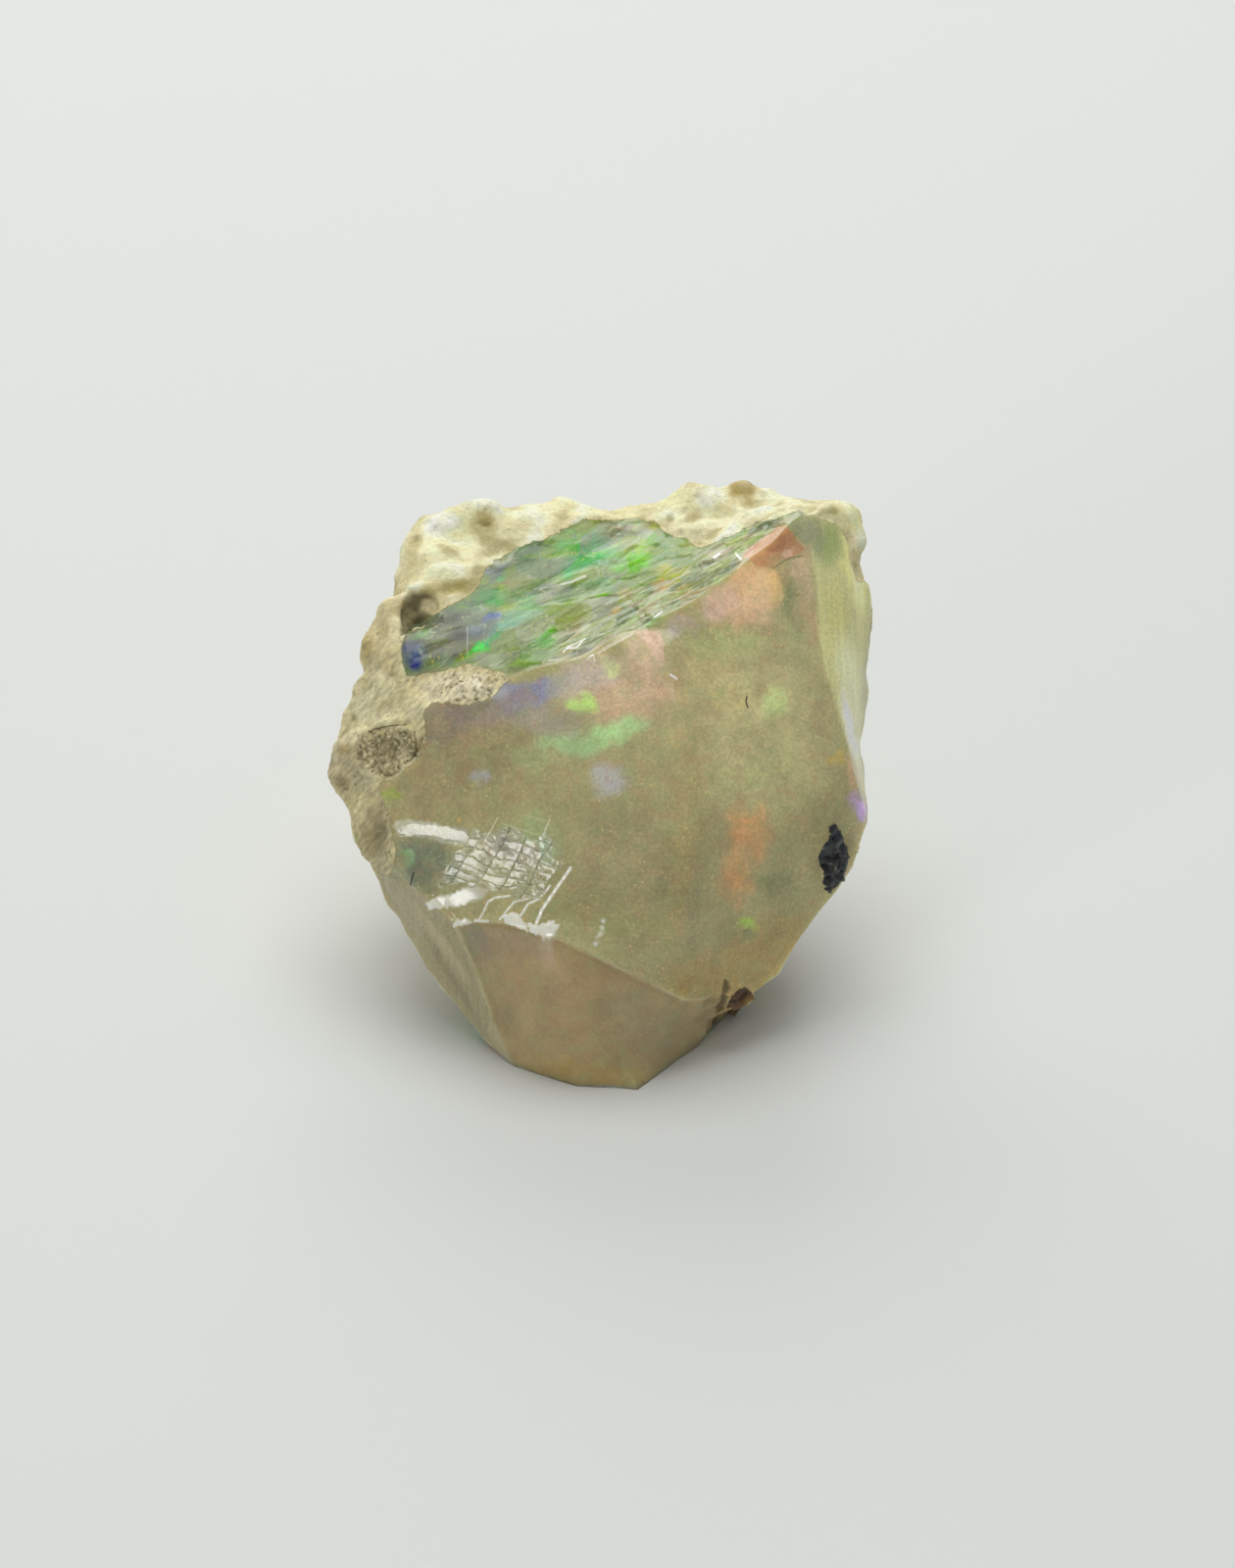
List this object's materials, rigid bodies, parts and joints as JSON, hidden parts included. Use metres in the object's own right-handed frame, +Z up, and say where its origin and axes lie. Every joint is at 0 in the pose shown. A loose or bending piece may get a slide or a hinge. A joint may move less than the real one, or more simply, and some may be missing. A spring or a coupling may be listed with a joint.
{
  "type": "rough opal",
  "caption": "Small wedge-shaped piece of rough precious opal with shell-like fracture faces, a knobbly crust of host rock round one side and the back, and a flat foot.",
  "frame": {"origin": "centre of the bounding box's base, on the surface that the stone rests on", "axes": "+X along the stone's width, the front face towards -Y, +Z up"},
  "size_m": [0.0216, 0.0198, 0.0176],
  "materials": {
    "opal": "translucent honey opal with play of colour, under a crust of matt cream and tan host rock"
  },
  "bodies": {
    "root": {"opal": "opal"}
  },
  "joints": []
}
